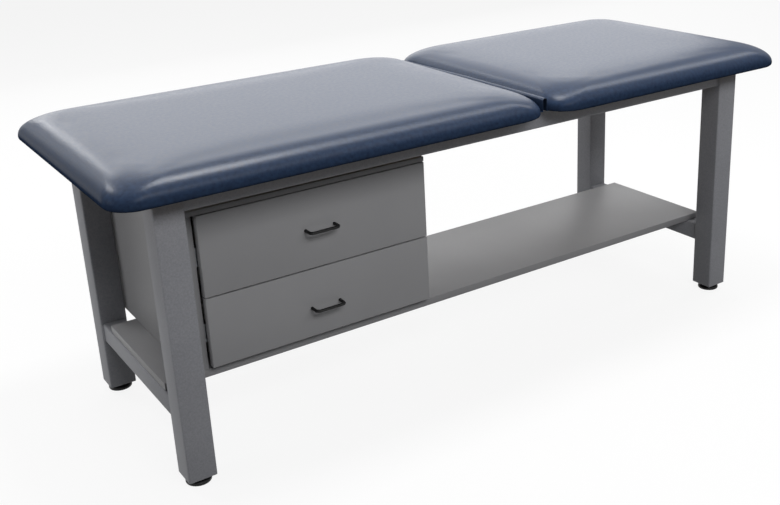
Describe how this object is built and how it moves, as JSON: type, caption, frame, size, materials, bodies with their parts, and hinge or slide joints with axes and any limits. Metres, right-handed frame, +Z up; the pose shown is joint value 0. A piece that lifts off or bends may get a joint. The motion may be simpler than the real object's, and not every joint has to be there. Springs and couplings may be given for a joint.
{
  "type": "treatment table",
  "caption": "Padded treatment table on a square-tube leg frame, with a lift-up backrest, a low shelf, a drawer cabinet and levelling feet.",
  "frame": {"origin": "on the floor, under the middle of the padded top", "axes": "+X along the table to the backrest end, +Y away from the drawer side, +Z up"},
  "size_m": [1.961, 0.772, 0.763],
  "materials": {
    "navy_vinyl": "satin grained vinyl over foam",
    "plywood": "raw",
    "grey_powder_coat": "fine texture, satin",
    "grey_laminate": "satin laminate",
    "drawer_board": "satin melamine",
    "black_metal": "satin black",
    "black_plastic": "matte",
    "zinc_steel": "zinc plated"
  },
  "bodies": {
    "frame": {"front_left_leg": "grey_powder_coat", "front_right_leg": "grey_powder_coat", "back_left_leg": "grey_powder_coat", "back_right_leg": "grey_powder_coat", "front_rail": "grey_powder_coat", "back_rail": "grey_powder_coat", "left_end_rail": "grey_powder_coat", "right_end_rail": "grey_powder_coat", "split_cross_bar": "grey_powder_coat", "support_cross_bar": "grey_powder_coat", "left_stretcher": "grey_powder_coat", "right_stretcher": "grey_powder_coat", "shelf": "grey_laminate", "cabinet_left_panel": "grey_laminate", "cabinet_filler": "grey_laminate", "cabinet_right_panel": "grey_laminate", "cabinet_top_panel": "grey_laminate", "cabinet_back_panel": "grey_laminate", "lower_left_slide_cabinet": "zinc_steel", "lower_right_slide_cabinet": "zinc_steel", "upper_left_slide_cabinet": "zinc_steel", "upper_right_slide_cabinet": "zinc_steel", "main_board": "plywood", "main_pad": "navy_vinyl", "vinyl_bridge": "navy_vinyl", "front_hinge_leaf_main": "zinc_steel", "front_hinge_pin": "zinc_steel", "back_hinge_leaf_main": "zinc_steel", "back_hinge_pin": "zinc_steel", "plunger_bracket": "zinc_steel"},
    "backrest": {"back_board": "plywood", "back_pad": "navy_vinyl", "front_hinge_leaf_back": "zinc_steel", "back_hinge_leaf_back": "zinc_steel", "index_plate": "zinc_steel"},
    "plunger": {"index_plunger": "black_metal"},
    "lower_drawer": {"lower_drawer_front": "grey_laminate", "lower_drawer_left_side": "drawer_board", "lower_drawer_right_side": "drawer_board", "lower_drawer_back": "drawer_board", "lower_drawer_bottom": "drawer_board", "lower_drawer_pull": "black_metal", "lower_left_slide_drawer": "zinc_steel", "lower_right_slide_drawer": "zinc_steel"},
    "lower_runners": {"lower_left_slide_middle": "zinc_steel", "lower_right_slide_middle": "zinc_steel"},
    "upper_drawer": {"upper_drawer_front": "grey_laminate", "upper_drawer_left_side": "drawer_board", "upper_drawer_right_side": "drawer_board", "upper_drawer_back": "drawer_board", "upper_drawer_bottom": "drawer_board", "upper_drawer_pull": "black_metal", "upper_left_slide_drawer": "zinc_steel", "upper_right_slide_drawer": "zinc_steel"},
    "upper_runners": {"upper_left_slide_middle": "zinc_steel", "upper_right_slide_middle": "zinc_steel"},
    "foot_front_left": {"front_left_foot": "black_plastic"},
    "foot_front_right": {"front_right_foot": "black_plastic"},
    "foot_back_left": {"back_left_foot": "black_plastic"},
    "foot_back_right": {"back_right_foot": "black_plastic"}
  },
  "joints": [
    {"name": "backrest_lift", "type": "hinge", "parent": "frame", "child": "backrest", "pos_m": [0.127, 0, 0.7128], "axis": [0, -1, 0], "range_deg": [0, 72], "deforming": ["vinyl_bridge"]},
    {"name": "plunger_push", "type": "slide", "parent": "frame", "child": "plunger", "axis": [0, -1, 0], "range_m": [0, 0.012]},
    {"name": "lower_drawer_slide", "type": "slide", "parent": "frame", "child": "lower_drawer", "axis": [0, -1, 0], "range_m": [0, 0.38]},
    {"name": "lower_runner_slide", "type": "slide", "parent": "frame", "child": "lower_runners", "axis": [0, -1, 0], "range_m": [0, 0.19]},
    {"name": "upper_drawer_slide", "type": "slide", "parent": "frame", "child": "upper_drawer", "axis": [0, -1, 0], "range_m": [0, 0.38]},
    {"name": "upper_runner_slide", "type": "slide", "parent": "frame", "child": "upper_runners", "axis": [0, -1, 0], "range_m": [0, 0.19]},
    {"name": "front_left_foot_screw", "type": "slide", "parent": "frame", "child": "foot_front_left", "axis": [0, 0, -1], "range_m": [0, 0.015]},
    {"name": "front_right_foot_screw", "type": "slide", "parent": "frame", "child": "foot_front_right", "axis": [0, 0, -1], "range_m": [0, 0.015]},
    {"name": "back_left_foot_screw", "type": "slide", "parent": "frame", "child": "foot_back_left", "axis": [0, 0, -1], "range_m": [0, 0.015]},
    {"name": "back_right_foot_screw", "type": "slide", "parent": "frame", "child": "foot_back_right", "axis": [0, 0, -1], "range_m": [0, 0.015]}
  ],
  "couplings": [
    {"joint": "lower_runner_slide", "follows": "lower_drawer_slide", "ratio": 0.5},
    {"joint": "upper_runner_slide", "follows": "upper_drawer_slide", "ratio": 0.5}
  ]
}
